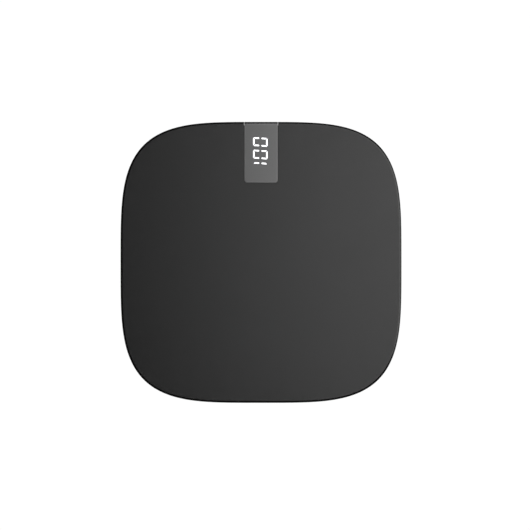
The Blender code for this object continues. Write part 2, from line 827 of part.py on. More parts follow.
def battery_door():
    """The door lies flush in the tray's floor and turns about its outer edge on two hook tabs."""
    hinge = make_empty("battery_door_hinge", (0, DOOR_HINGE_Y, TRAY_FLOOR))
    half = BAY_HALF_X - GAP
    door = make_object(
        "battery_door",
        lambda bm: add_block(bm, (-half, 0, 0), (half, DOOR_LENGTH, DOOR_THICKNESS)),
        BLACK_ABS,
        hinge,
    )

    def add_tabs_and_latch(bm):
        sunk = DOOR_THICKNESS - 0.4
        for x in (-14, 14):
            hook = ((-2, 2.3), (0.5, 2.3), (0.5, sunk), (3, sunk), (3, 3.7), (-2, 3.7))
            rings = [[(edge, y, z) for y, z in hook] for edge in (x - 3, x + 3)]
            add_loft(bm, rings)
        add_block(bm, (-7, DOOR_LENGTH - 1.7, sunk), (7, DOOR_LENGTH - 0.7, 6.2))

    def cut_finger_notch(bm):
        add_rod(bm, (0, DOOR_LENGTH - 8), -1, 0.8, 5, 24)

    combine(door, "UNION", "door_tabs", add_tabs_and_latch)
    combine(door, "DIFFERENCE", "finger_notch", cut_finger_notch)


# ---- case screws --------------------------------------------------------------------------------


def case_screws():
    """Pan-head screws up through the tray's bosses into the platform's."""
    arm, blade = 1.6, 0.35
    cross = []
    for turn in range(4):
        angle = math.radians(90 * turn)
        for along, across in ((arm, -blade), (arm, blade), (blade, blade)):
            x = along * math.cos(angle) - across * math.sin(angle)
            y = along * math.sin(angle) + across * math.cos(angle)
            cross.append((x, y))
    profile = ((2.2, 6.6), (2.8, 7.2), (2.8, 8.7), (1.4, 8.7), (1.4, 19.4), (0.9, 20.2))
    for number, place in enumerate(SCREW_PLACES, start=1):
        guide = make_empty(f"case_screw_{number}_place", (*place, 0))
        screw = make_object(
            f"case_screw_{number}", lambda bm: add_turned(bm, profile, 14), PLATED_STEEL, guide
        )
        combine(screw, "DIFFERENCE", f"cross_{number}", lambda bm: add_prism(bm, cross, 5, 7.6))


clear_scene()
platform_cover()
display_lens()
stiffener_plate()
display_stack()
corners = corner_guides()
base_tray(corners)
for corner_number, corner in enumerate(corners, start=1):
    corner_unit(corner_number, corner)
sensor_leads()
main_board()
unit_button()
batteries()
contact("contact_positive", -1, 1, 1, None)
contact("contact_link_1", 1, 1, 2, 1)
contact("contact_link_2", -1, 2, 3, 2)
contact("contact_negative", 1, 3, 3, 3)
battery_leads()
battery_door()
case_screws()
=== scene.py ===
"""The looks of a square black bathroom scale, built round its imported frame, in metres, +Z up."""

import json
import math

import bmesh
import bpy
from mathutils import Matrix, Vector


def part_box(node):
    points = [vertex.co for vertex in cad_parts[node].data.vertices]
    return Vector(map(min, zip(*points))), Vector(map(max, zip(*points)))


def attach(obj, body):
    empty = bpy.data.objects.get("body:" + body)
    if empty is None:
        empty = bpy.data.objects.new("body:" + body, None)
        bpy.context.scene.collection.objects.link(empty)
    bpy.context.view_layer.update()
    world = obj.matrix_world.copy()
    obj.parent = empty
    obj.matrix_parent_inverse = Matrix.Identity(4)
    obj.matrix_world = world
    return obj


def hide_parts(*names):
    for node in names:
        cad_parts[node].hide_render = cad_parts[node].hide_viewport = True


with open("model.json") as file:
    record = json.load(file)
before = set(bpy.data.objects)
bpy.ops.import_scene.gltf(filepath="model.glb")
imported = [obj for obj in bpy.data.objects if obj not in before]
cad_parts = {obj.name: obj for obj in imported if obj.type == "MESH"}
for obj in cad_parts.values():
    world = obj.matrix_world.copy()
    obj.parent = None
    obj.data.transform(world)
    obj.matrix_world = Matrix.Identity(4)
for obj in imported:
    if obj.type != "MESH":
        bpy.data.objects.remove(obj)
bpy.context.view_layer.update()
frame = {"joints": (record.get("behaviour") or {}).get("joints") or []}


# ---- platform cover ------------------------------------------------------------------------------
# The moulded top that is stood on: black ABS with a fine matte grain, a rounded rim and a short
# skirt. Its outline is a superellipse, and an open slot at the far edge takes the display window.

SQUARENESS = 3.85
CORNER_STEPS = 72
TINY = 0.000002

cover_low, cover_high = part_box("platform_cover")
window_low, window_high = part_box("display_lens")
side_half = cover_high.x
platform_top = cover_high.z
skirt_bottom = window_low.z
rim_radius = 0.0022
skirt_width = 0.0026
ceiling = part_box("stiffener_plate")[1].z + 0.0003
slot_gap = 0.0002
window_corner = 0.0026


def pick(kind, test):
    """Selects only the faces, edges or points of the piece being edited that the test accepts."""
    bpy.ops.object.mode_set(mode="EDIT")
    bpy.ops.mesh.select_mode(type=kind)
    bpy.ops.mesh.select_all(action="DESELECT")
    shape = bmesh.from_edit_mesh(bpy.context.edit_object.data)
    shape.normal_update()
    if kind == "FACE":
        for face in shape.faces:
            face.select_set(bool(test(face.calc_center_median(), face.normal)))
    elif kind == "EDGE":
        for edge in shape.edges:
            edge.select_set(bool(test(edge.verts[0].co, edge.verts[1].co)))
    else:
        for vert in shape.verts:
            vert.select_set(bool(test(vert.co)))
    shape.select_flush_mode()
    bmesh.update_edit_mesh(bpy.context.edit_object.data)


def new_piece(name):
    """Names the primitive just added and leaves it alone selected, with its place in its mesh."""
    piece = bpy.context.active_object
    piece.name = name
    piece.data.name = name
    bpy.ops.object.transform_apply(location=True, rotation=True, scale=True)
    return piece


def raise_selected(x=0.0, y=0.0, z=0.0):
    bpy.ops.mesh.extrude_region_move(TRANSFORM_OT_translate={"value": (x, y, z)})


def rounded_square(name, half, z):
    """A flat sheet with the scale's outline, its corners bevelled to the superellipse."""
    bpy.ops.object.select_all(action="DESELECT")
    bpy.ops.mesh.primitive_plane_add(size=2 * half, location=(0, 0, z))
    sheet = new_piece(name)
    pick("VERT", lambda point: True)
    profile = 2 ** (-2 / SQUARENESS)
    bpy.ops.mesh.bevel(
        offset=half - TINY, segments=CORNER_STEPS, profile=profile, affect="VERTICES"
    )
    bpy.ops.mesh.select_all(action="SELECT")
    bpy.ops.mesh.remove_doubles(threshold=4 * TINY)
    return sheet


def bevel_edges(test, width, segments):
    pick("EDGE", test)
    bpy.ops.mesh.bevel(offset=width, segments=segments, profile=0.5, affect="EDGES")


def both(height):
    """A test for edges that lie level at a height."""
    return lambda a, b: abs(a.z - height) < TINY and abs(b.z - height) < TINY


def facing_up(height):
    return lambda middle, normal: normal.z > 0.9 and abs(middle.z - height) < TINY


def facing_down(height):
    return lambda middle, normal: normal.z < -0.9 and abs(middle.z - height) < TINY


def tidy_normals():
    bpy.ops.object.mode_set(mode="EDIT")
    bpy.ops.mesh.select_all(action="SELECT")
    bpy.ops.mesh.normals_make_consistent(inside=False)
    bpy.ops.object.mode_set(mode="OBJECT")


def carve(piece, tool, operation="DIFFERENCE"):
    """Cuts a tool from a piece, joins it on, or keeps only what both hold, and drops the tool."""
    bpy.ops.object.mode_set(mode="OBJECT")
    modifier = piece.modifiers.new("carve", "BOOLEAN")
    modifier.operation = operation
    modifier.object = tool
    bpy.context.view_layer.objects.active = piece
    bpy.ops.object.modifier_apply(modifier="carve")
    bpy.data.objects.remove(tool)


def choose(*pieces):
    """Leaves only these pieces selected, the first one active."""
    if bpy.context.object and bpy.context.object.mode == "EDIT":
        bpy.ops.object.mode_set(mode="OBJECT")
    bpy.ops.object.select_all(action="DESELECT")
    for piece in pieces:
        piece.select_set(True)
    bpy.context.view_layer.objects.active = pieces[0]


def smooth(piece, angle=40.0):
    """Rounds the shading of soft edges only, and keeps broad flats looking flat."""
    choose(piece)
    bpy.ops.object.shade_smooth_by_angle(angle=math.radians(angle))
    piece.modifiers.new("flats", "WEIGHTED_NORMAL").keep_sharp = True
    bpy.ops.object.modifier_apply(modifier="flats")


def posts(name, places, radius, low, high, sides=24):
    """Upright round rods at some places, as one mesh."""
    rods = []
    for x, y in places:
        bpy.ops.object.select_all(action="DESELECT")
        bpy.ops.mesh.primitive_cylinder_add(
            vertices=sides, radius=radius, depth=high - low, location=(x, y, (low + high) / 2)
        )
        rods.append(new_piece(name))
    choose(*rods)
    if len(rods) > 1:
        bpy.ops.object.join()
    return bpy.context.active_object


def shell_blank(name, skin_low):
    """A closed platform shape: flat top, rounded rim, skirt, and a ceiling at skin_low."""
    piece = rounded_square(name, side_half, platform_top)
    pick("FACE", lambda middle, normal: True)
    raise_selected(z=skirt_bottom - platform_top)
    tidy_normals()
    bevel_edges(both(platform_top), rim_radius, 10)
    pick("FACE", facing_down(skirt_bottom))
    bpy.ops.mesh.inset(thickness=skirt_width)
    raise_selected(z=skin_low - skirt_bottom)
    bevel_edges(
        lambda a, b: both(skirt_bottom)(a, b) and max(abs(a.x), abs(a.y)) > side_half - 0.0021
        and outer_ring(a) and outer_ring(b),
        0.0005,
        3,
    )
    bpy.ops.object.mode_set(mode="OBJECT")
    return piece


def outer_ring(point):
    """True on the platform's outermost outline."""
    reach = abs(point.x / side_half) ** SQUARENESS + abs(point.y / side_half) ** SQUARENESS
    return reach > 0.99


def window_outline(name, margin):
    """A tall block with the display window's outline, open past the rim, for cutting."""
    half = (window_high.x - window_low.x) / 2 + margin
    low_y, high_y = window_low.y - margin, side_half + 0.01
    bpy.ops.object.select_all(action="DESELECT")
    middle = (0, (low_y + high_y) / 2, platform_top - 0.015)
    bpy.ops.mesh.primitive_cube_add(size=1, location=middle, scale=(2 * half, high_y - low_y, 0.04))
    tool = new_piece(name)
    pick("EDGE", lambda a, b: abs(a.z - b.z) > 0.03 and a.y < middle[1])
    bpy.ops.mesh.bevel(offset=window_corner + margin, segments=10, profile=0.5, affect="EDGES")
    bpy.ops.object.mode_set(mode="OBJECT")
    return tool


def split_flat(height, x_cuts, y_cuts):
    """Splits a broad flat along straight lines, so that no face wraps round a notch."""
    for place, along in [(x, "X") for x in x_cuts] + [(y, "Y") for y in y_cuts]:
        pick("FACE", lambda spot, normal: abs(normal.z) > 0.9 and abs(spot.z - height) < TINY)
        spot, facing = ((place, 0, 0), (1, 0, 0)) if along == "X" else ((0, place, 0), (0, 1, 0))
        bpy.ops.mesh.bisect(plane_co=spot, plane_no=facing)
    bpy.ops.object.mode_set(mode="OBJECT")


cover = shell_blank("platform_top", ceiling)
clearance = 0.0015
beside = (window_high.x - window_low.x) / 2 + clearance
x_cuts = (-beside, 0, beside)
y_cuts = (window_low.y - clearance, window_low.y + 0.005)
choose(cover)
split_flat(platform_top, x_cuts, y_cuts)
split_flat(ceiling, x_cuts, y_cuts)
carve(cover, window_outline("slot_tool", slot_gap))


def seam_edge(margin):
    """A test for the edges where the window or its slot meets the top and the rim."""
    half = (window_high.x - window_low.x) / 2 + margin
    low_y = window_low.y - margin

    def on_wall(point):
        on_side = abs(abs(point.x) - half) < 0.00002 and point.y > low_y
        return on_side or (abs(point.x) < half and point.y < low_y + window_corner + margin)

    def test(a, b):
        level = min(a.z, b.z) > platform_top - rim_radius + 0.0002
        inside = max(abs(a.x), abs(b.x)) < half + 0.00002
        across = max(a.y, b.y) > side_half - rim_radius - TINY and abs(abs(a.x) - abs(b.x)) > TINY
        return level and inside and on_wall(a) and on_wall(b) and not across

    return test


bevel_edges(seam_edge(slot_gap), 0.0001, 3)
bpy.ops.object.mode_set(mode="OBJECT")

screw_names = [f"case_screw_{number}" for number in range(1, 7)]
screw_places = [((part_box(name)[0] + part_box(name)[1]) / 2).xy for name in screw_names]
boss_radius, pilot_radius = 0.0036, 0.0017
boss_bottom, boss_top, pilot_top = cover_low.z, ceiling + 0.0006, 0.0206
bosses = posts("cover_bosses", screw_places, boss_radius, boss_bottom, boss_top)
carve(cover, bosses, "UNION")
carve(cover, posts("pilot_holes", screw_places, pilot_radius, boss_bottom - 0.002, pilot_top))


def new_material(name):
    """A material, its nodes, links and shader, and the place on the piece that textures follow."""
    material = bpy.data.materials.new(name)
    material.use_nodes = True
    nodes, links = material.node_tree.nodes, material.node_tree.links
    place = nodes.new("ShaderNodeTexCoord").outputs["Object"]
    return material, nodes, links, nodes["Principled BSDF"], place


def noise(nodes, links, place, scale, detail=2.0):
    texture = nodes.new("ShaderNodeTexNoise")
    texture.inputs["Scale"].default_value = scale
    texture.inputs["Detail"].default_value = detail
    links.new(place, texture.inputs["Vector"])
    return texture.outputs["Fac"]


def ramp(nodes, links, value, dark, light, first=0.0, last=1.0):
    tone = nodes.new("ShaderNodeValToRGB")
    for element, spot, colour in zip(tone.color_ramp.elements, (first, last), (dark, light)):
        element.position = spot
        element.color = (*colour, 1)
    links.new(value, tone.inputs["Fac"])
    return tone.outputs["Color"]


def mapped(nodes, links, value, low, high):
    stretch = nodes.new("ShaderNodeMapRange")
    stretch.inputs["To Min"].default_value = low
    stretch.inputs["To Max"].default_value = high
    links.new(value, stretch.inputs["Value"])
    return stretch.outputs["Result"]


def bumped(nodes, links, shader, height, strength, distance):
    bump = nodes.new("ShaderNodeBump")
    bump.inputs["Strength"].default_value = strength
    bump.inputs["Distance"].default_value = distance
    links.new(height, bump.inputs["Height"])
    links.new(bump.outputs["Normal"], shader.inputs["Normal"])
    return bump


def textured_abs(name, shade, roughness=0.5, polished_below=None, relief=0.00002):
    """Moulded ABS with a fine spark-eroded grain: small even pits, and a little cloud in the shine.
    Below the height polished_below, as round the cover's rim, the mould was polished instead."""
    material, nodes, links, shader, place = new_material(name)
    pits = noise(nodes, links, place, 2800.0, 3.0)
    clouds = noise(nodes, links, place, 22.0, 4.0)
    dark, light = (shade * 0.9,) * 3, (shade * 1.1,) * 3
    links.new(ramp(nodes, links, clouds, dark, light, 0.3, 0.7), shader.inputs["Base Color"])
    shine = mapped(nodes, links, clouds, roughness - 0.03, roughness + 0.03)
    links.new(shine, shader.inputs["Roughness"])
    bump = bumped(nodes, links, shader, pits, 0.35, relief)
    if polished_below is not None:
        polish_rim(nodes, links, place, shine, shader, polished_below)
        links.new(height_mask(nodes, links, place, polished_below), bump.inputs["Strength"])
    return material


def height_mask(nodes, links, place, level):
    """0 under a height and 1 over it, with a soft step of a twentieth of a millimetre."""
    split = nodes.new("ShaderNodeSeparateXYZ")
    step = nodes.new("ShaderNodeMapRange")
    step.inputs["From Min"].default_value = level - 0.00005
    step.inputs["From Max"].default_value = level
    links.new(place, split.inputs["Vector"])
    links.new(split.outputs["Z"], step.inputs["Value"])
    return step.outputs["Result"]


def polish_rim(nodes, links, place, shine, shader, level):
    """The skin is finer, and reflects a little less, round the edge than on the flat."""
    flat = height_mask(nodes, links, place, level)
    finish = nodes.new("ShaderNodeMix")
    finish.inputs[2].default_value = 0.1
    gleam = mapped(nodes, links, flat, 0.45, 0.5)
    links.new(flat, finish.inputs[0])
    links.new(shine, finish.inputs[3])
    links.new(finish.outputs[0], shader.inputs["Roughness"])
    links.new(gleam, shader.inputs["Specular IOR Level"])


def wear(piece, material):
    piece.data.materials.clear()
    piece.data.materials.append(material)


smooth(cover)
rim_level = platform_top - 0.000005
wear(cover, textured_abs("cover_black_abs", 0.006, 0.46, rim_level))
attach(cover, "casing")
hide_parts("platform_cover")


# ---- display window and lit digits ---------------------------------------------------------------
# A smoked grey strip, flush in the cover's slot and carried round the rim, with its edges eased.
# White light shows through it in the shape of three seven-segment digits.

window = shell_blank("display_window", platform_top - 0.002)
carve(window, window_outline("window_tool", 0.0), "INTERSECT")
bevel_edges(seam_edge(0.0), 0.0002, 3)
pick("FACE", facing_up(platform_top))
bpy.ops.mesh.inset(thickness=0.0009)
smooth(window)


def smoked_window(name, shade):
    """Smoke-tinted acrylic with a satin face and a polished rim, metallised on its back."""
    material, nodes, links, shader, place = new_material(name)
    shader.inputs["Metallic"].default_value = 0.8
    haze = noise(nodes, links, place, 60.0, 3.0)
    dark, light = (shade * 0.97,) * 3, (shade * 1.03,) * 3
    links.new(ramp(nodes, links, haze, dark, light), shader.inputs["Base Color"])
    shine = mapped(nodes, links, haze, 0.36, 0.42)
    polish_rim(nodes, links, place, shine, shader, rim_level)
    return material


window_shade = 0.112
# A band about 0.9 mm wide round the window's face wears a second copy of the material, 1.12 times
# lighter: a painted highlight for light caught by an eased edge, on a face that stays flat.
highlight_band_x = 0.0158
wear(window, smoked_window("smoked_window", window_shade))
window.data.materials.append(smoked_window("window_painted_highlight", window_shade * 1.12))
pick(
    "FACE",
    lambda spot, normal: normal.z > 0.9
    and spot.z > rim_level
    and (abs(spot.x) > highlight_band_x or spot.y < window_low.y + 0.0008 or spot.y > side_half - 0.003),
)
bpy.context.object.active_material_index = 1
bpy.ops.object.material_slot_assign()
bpy.ops.object.mode_set(mode="OBJECT")
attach(window, "casing")
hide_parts("display_lens")

digit_middle_x = -0.0007
digit_half_height, digit_half_width = 0.00648, 0.00365
stroke, mitre_gap = 0.00145, 0.0005
lit_bottom, lit_top = platform_top - 0.00015, platform_top + 0.00002
lean = 0.067


def slab(name, low, high, shift_test, shift, round_test, rounding):
    """A thin slab with some corners moved along and some rounded."""
    middle = ((low[0] + high[0]) / 2, (low[1] + high[1]) / 2, lit_bottom)
    bpy.ops.object.select_all(action="DESELECT")
    size = (high[0] - low[0], high[1] - low[1], 1)
    bpy.ops.mesh.primitive_plane_add(size=1, location=middle)
    bpy.context.active_object.scale = size
    piece = new_piece(name)
    for test, move in zip(shift_test, shift):
        pick("VERT", test)
        bpy.ops.transform.translate(value=move)
    for test, width in zip(round_test, rounding):
        pick("VERT", test)
        bpy.ops.mesh.bevel(offset=width, segments=4, profile=0.5, affect="VERTICES")
    pick("FACE", lambda spot, normal: True)
    raise_selected(z=lit_top - lit_bottom)
    tidy_normals()
    return piece


def twin(piece, name, matrix):
    """A copy of a piece with its own mesh, placed by a matrix and kept facing outwards."""
    copy = piece.copy()
    copy.data = piece.data.copy()
    copy.name = copy.data.name = name
    bpy.context.scene.collection.objects.link(copy)
    copy.data.transform(matrix)
    if matrix.determinant() < 0:
        copy.data.flip_normals()
    return copy


half_stroke = stroke / 2
bar_end = digit_half_height + half_stroke - mitre_gap
cap_end = digit_half_width + half_stroke - mitre_gap
bar = slab(
    "digit_bar",
    (0.0012, digit_half_width - half_stroke),
    (bar_end, digit_half_width + half_stroke),
    [lambda spot: spot.x > 0.003 and spot.y < digit_half_width],
    [(-stroke, 0, 0)],
    [lambda spot: spot.x < 0.002, lambda spot: spot.x > 0.003],
    [0.0005, 0.0002],
)
cap = slab(
    "digit_cap",
    (digit_half_height - half_stroke, -cap_end),
    (digit_half_height + half_stroke, cap_end),
    [
        lambda spot: spot.x < digit_half_height and spot.y > 0,
        lambda spot: spot.x < digit_half_height and spot.y < 0,
    ],
    [(0, -stroke, 0), (0, stroke, 0)],
    [lambda spot: True],
    [0.0002],
)


def digit(name, middle_y, bars, caps):
    """One digit: bars are (x side, y side, y shift), caps are x sides; tops point to -X."""
    slanted = Matrix.Identity(4)
    slanted[1][0] = -lean
    slanted.translation = (digit_middle_x, middle_y, 0)
    parts = []
    for x_side, y_side, shift in bars:
        place = Matrix.Translation((0, shift, 0)) @ Matrix.Diagonal((x_side, y_side, 1, 1))
        parts.append(twin(bar, name, slanted @ place))
    for x_side in caps:
        parts.append(twin(cap, name, slanted @ Matrix.Diagonal((x_side, 1, 1, 1))))
    choose(*parts)
    bpy.ops.object.join()
    return bpy.context.active_object


def lit_segment(name):
    """White light behind a thin diffusing skin: a little brighter in the middle of its grain."""
    material, nodes, links, shader, place = new_material(name)
    shader.inputs["Base Color"].default_value = (0.85, 0.85, 0.85, 1)
    shader.inputs["Roughness"].default_value = 0.4
    shader.inputs["Emission Strength"].default_value = 1.25
    grain = noise(nodes, links, place, 1500.0)
    glow = ramp(nodes, links, grain, (0.92, 0.94, 1.0), (1.0, 1.0, 1.0))
    links.new(glow, shader.inputs["Emission Color"])
    return material


lit = lit_segment("lit_segment_white")
zero_bars = [(x, y, 0) for x in (-1, 1) for y in (-1, 1)]
one_shift = 0.0079
digits = [
    digit("digit_units", 0.11995, zero_bars, (-1, 1)),
    digit("digit_tens", 0.10745, zero_bars, (-1, 1)),
    digit("digit_hundreds", 0.0945, [(-1, -1, one_shift), (1, -1, one_shift)], ()),
]
for pattern in (bar, cap):
    bpy.data.objects.remove(pattern)
for lit_digit in digits:
    smooth(lit_digit)
    wear(lit_digit, lit)
    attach(lit_digit, "casing")

# ---- base tray -----------------------------------------------------------------------------------
# The tapered moulded base: a thin tray with a tower round each foot, screw bosses, board posts, the
# battery bay and stiffening ribs, all one moulding in black ABS. Its rim stands inside the cover.

tray_low, tray_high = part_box("base_tray")
tray_floor = tray_low.z
floor_top = tray_floor + 0.002
tray_top = tray_high.z
foot_reach = (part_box("foot_cup_1")[0].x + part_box("foot_cup_1")[1].x) / 2
feet = [(foot_reach, foot_reach), (-foot_reach, foot_reach)]
feet += [(-foot_reach, -foot_reach), (foot_reach, -foot_reach)]
rib_root = tray_floor + 0.001
rib_top = 0.0208
tray_wall = 0.002
floor_half, knee_half, inner_floor_half = 0.1244, 0.127, 0.125
knee_rise = 0.0022
tower_radius, tower_bore_radius = 0.0275, 0.026
stake_radius, melted_radius, stake_top = 0.0016, 0.0025, 0.0137
stem_hole_radius, well_radius, button_hole_radius = 0.0075, 0.0032, 0.0049


def grow_ring(z, low_half, high_half):
    """Raises the selected cap, and widens or narrows it on the way."""
    share = high_half / low_half
    raise_selected(z=z)
    bpy.ops.transform.resize(value=(share, share, 1), center_override=(0, 0, 0))


def blocks(name, corners, turn=0.0, centre=(0, 0)):
    """Boxes given by their low and high corners, turned about an upright line, as one mesh."""
    pieces = []
    for low, high in corners:
        middle = [(a + b) / 2 for a, b in zip(low, high)]
        size = [b - a for a, b in zip(low, high)]
        bpy.ops.object.select_all(action="DESELECT")
        bpy.ops.mesh.primitive_cube_add(size=1, location=middle, scale=size)
        pieces.append(new_piece(name))
    choose(*pieces)
    if len(pieces) > 1:
        bpy.ops.object.join()
    piece = bpy.context.active_object
    place = Matrix.Translation((*centre, 0)) @ Matrix.Rotation(math.radians(turn), 4, "Z")
    piece.data.transform(place)
    return piece


def rings(name, places, inner, outer, low, high):
    """Upright tubes with open middles, as one mesh."""
    ring = posts(name, places, outer, low, high, 48)
    carve(ring, posts(name, places, inner, low - 0.001, high + 0.001, 48))
    return ring


def corner_blocks(name, low, high):
    """The same box at each foot, turned so that its +X points away from the middle."""
    pieces = []
    for (x, y), turn in zip(feet, (45, 135, 225, 315)):
        pieces.append(blocks(name, [(low, high)], turn, (x, y)))
    choose(*pieces)
    bpy.ops.object.join()
    return bpy.context.active_object


tray = rounded_square("base_moulding", floor_half, tray_floor)
pick("FACE", lambda spot, normal: True)
grow_ring(knee_rise, floor_half, knee_half)
grow_ring(tray_top - tray_floor - knee_rise, knee_half, tray_high.x)
bpy.ops.mesh.inset(thickness=tray_wall)
grow_ring(floor_top - tray_top, tray_high.x - tray_wall, inner_floor_half)
tidy_normals()
bevel_edges(both(tray_floor), 0.0009, 3)
bevel_edges(both(tray_floor + knee_rise), 0.0012, 3)
bevel_edges(both(tray_top), 0.0003, 2)
bpy.ops.object.mode_set(mode="OBJECT")
grid = (-0.07, -0.045, -0.028, 0.0, 0.028, 0.045, 0.07)
split_flat(tray_floor, grid, grid)
split_flat(floor_top, grid, grid)

carve(tray, posts("towers", feet, tower_radius, rib_root, rib_top, 56), "UNION")
carve(tray, posts("tower_bores", feet, tower_bore_radius, floor_top, 0.024, 56))
seat_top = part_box("load_cell_1")[0].z - 0.0003
carve(tray, corner_blocks("seats", (-0.018, -0.018, rib_root), (0.018, 0.018, seat_top)), "UNION")
stakes = []
for (x, y), turn in zip(feet, (45, 135, 225, 315)):
    for side in (-0.0215, 0.0215):
        angle = math.radians(turn)
        stakes.append((x - side * math.sin(angle), y + side * math.cos(angle)))
carve(tray, posts("stakes", stakes, stake_radius, rib_root, stake_top, 16), "UNION")
carve(tray, posts("melted_heads", stakes, melted_radius, 0.0129, stake_top, 16), "UNION")
carve(tray, posts("tray_bosses", screw_places, 0.0047, rib_root, 0.0123), "UNION")
board_posts = [(-0.027, 0.027), (0.027, 0.061), (0.027, 0.027), (-0.027, 0.061)]
board_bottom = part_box("main_board")[0].z
carve(tray, posts("board_posts", board_posts, 0.003, rib_root, board_bottom - 0.0003), "UNION")
half_rib = 0.0008
rib_end = 0.058
side_ribs = [
    ((x - half_rib, -rib_end, rib_root), (x + half_rib, rib_end, rib_top))
    for x in (-foot_reach, foot_reach)
]
cross_ribs = [
    ((-rib_end, y - half_rib, rib_root), (rib_end, y + half_rib, top))
    for y, top in ((-foot_reach, rib_top), (foot_reach, 0.012))
]
carve(tray, blocks("side_ribs", side_ribs + cross_ribs), "UNION")

door_joint = next(joint for joint in frame["joints"] if joint["child"] == "battery_door")
hinge_y = door_joint["pos_m"][1]
door_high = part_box("battery_door")[1]
bay_half = door_high.x + 0.0003
bay_low_y, bay_high_y = hinge_y - 0.0026, door_high.y + 0.0003
bay_ceiling = 0.0183
bay_wall = 0.0016
bay_box = (
    (-bay_half - bay_wall, bay_low_y - bay_wall, rib_root),
    (bay_half + bay_wall, bay_high_y + bay_wall, bay_ceiling + bay_wall),
)
carve(tray, blocks("bay_walls", [bay_box]), "UNION")

below = tray_floor - 0.002
cell_room = ((-0.0145, -0.0145, floor_top), (0.0145, 0.0145, 0.012))
carve(tray, corner_blocks("cell_room", *cell_room))
wire_exit = ((-0.030, -0.003, floor_top + 0.0019), (-0.025, 0.003, 0.0125))
carve(tray, corner_blocks("wire_exits", *wire_exit))
carve(tray, posts("stem_holes", feet, stem_hole_radius, below, floor_top + 0.001, 40))
carve(tray, posts("screw_wells", screw_places, well_radius, below, 0.009, 28))
carve(tray, posts("screw_holes", screw_places, pilot_radius, below, 0.014, 20))
carve(tray, posts("post_holes", board_posts[:2], 0.0014, 0.008, 0.014, 16))
button_low, button_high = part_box("unit_button")
button_spot = ((button_low + button_high) / 2).xy
carve(tray, posts("button_hole", [button_spot], button_hole_radius, below, 0.010, 40))
opening = ((-bay_half, hinge_y - 0.0003, below), (bay_half, bay_high_y, bay_ceiling))
carve(tray, blocks("bay_opening", [opening]))
ledge = ((-bay_half, bay_low_y, floor_top), (bay_half, hinge_y + 0.002, bay_ceiling))
carve(tray, blocks("hinge_ledge", [ledge]))
label_low, label_high = (-0.034, -0.084), (0.034, -0.056)
label = ((*label_low, below), (*label_high, tray_floor + 0.0004))
label_tool = blocks("label_recess", [label])
choose(label_tool)
bevel_edges(lambda a, b: abs(a.z - b.z) > 0.001, 0.003, 6)
carve(tray, label_tool)
for x in (-bay_half - bay_wall / 2, bay_half + bay_wall / 2):
    cell = 1 if x < 0 else 3
    y = ((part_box(f"battery_{cell}")[0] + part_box(f"battery_{cell}")[1]) / 2).y
    hole = posts("wire_hole", [(0, 0)], 0.0011, -0.003, 0.003, 16)
    hole.data.transform(Matrix.Translation((x, y, 0.014)) @ Matrix.Rotation(math.pi / 2, 4, "Y"))
    carve(tray, hole)

ring_reach = 0.0228
carve(tray, rings("foot_rings", feet, ring_reach, ring_reach + 0.0008, below, tray_floor + 0.0004))
choose(tray)


def round_holes(a, b):
    """The underside's rims of the foot stems' holes, the screw wells and the button's hole."""
    if not both(tray_floor)(a, b):
        return False
    rims = [(feet, stem_hole_radius), (screw_places, well_radius)]
    rims.append(([button_spot], button_hole_radius))
    for places, radius in rims:
        for x, y in places:
            if all(abs(math.hypot(p.x - x, p.y - y) - radius) < 0.00003 for p in (a, b)):
                return True
    return False


bevel_edges(round_holes, 0.0003, 3)
smooth(tray, 35)
wear(tray, textured_abs("tray_black_abs", 0.012, 0.5))
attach(tray, "casing")
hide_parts("base_tray")


# ---- battery door --------------------------------------------------------------------------------
# A flat ABS lid, flush with the tray's floor. Two hook tabs behind its outer edge are the hinge. A
# sprung finger at the other end is the latch, with a thumb notch and grip grooves beside it.

door_top = floor_top
door = blocks("door_panel", [((-door_high.x, hinge_y, tray_floor), (*door_high.xy, door_top))])
bevel_edges(lambda a, b: abs(a.z - b.z) > 0.001, 0.0006, 3)
bevel_edges(both(tray_floor), 0.0003, 2)
bpy.ops.object.mode_set(mode="OBJECT")
tab_root = door_top - 0.0004
for x in (-0.014, 0.014):
    foot = ((x - 0.003, hinge_y + 0.0005, tab_root), (x + 0.003, hinge_y + 0.003, 0.0087))
    hook = ((x - 0.003, hinge_y - 0.002, 0.0073), (x + 0.003, hinge_y + 0.0012, 0.0087))
    carve(door, blocks("hook_foot", [foot]), "UNION")
    carve(door, blocks("hook", [hook]), "UNION")
finger = ((-0.007, door_high.y - 0.0017, tab_root), (0.007, door_high.y - 0.0007, door_high.z))
carve(door, blocks("latch_finger", [finger]), "UNION")
notch_y, notch_radius = door_high.y - 0.008, 0.005
carve(door, posts("thumb_notch", [(0, notch_y)], notch_radius, below, tray_floor + 0.0008, 48))
grooves = []
for number in range(3):
    y = notch_y - 0.0085 - 0.0022 * number
    grooves.append(((-0.009, y - 0.0004, below), (0.009, y + 0.0004, tray_floor + 0.0004)))
carve(door, blocks("grip_grooves", grooves))
choose(door)
bevel_edges(
    lambda a, b: both(tray_floor)(a, b)
    and all(abs(math.hypot(p.x, p.y - notch_y) - notch_radius) < 0.00003 for p in (a, b)),
    0.0002,
    2,
)
smooth(door, 35)
wear(door, textured_abs("door_black_abs", 0.012, 0.52))
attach(door, "battery_door")
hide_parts("battery_door")


# ---- feet ----------------------------------------------------------------------------------------
# Each foot is a round ABS cup whose stem pushes up on the load cell's tongue. A grey rubber pad
# with ring treads is pressed into the cup's underside and stands on the floor.


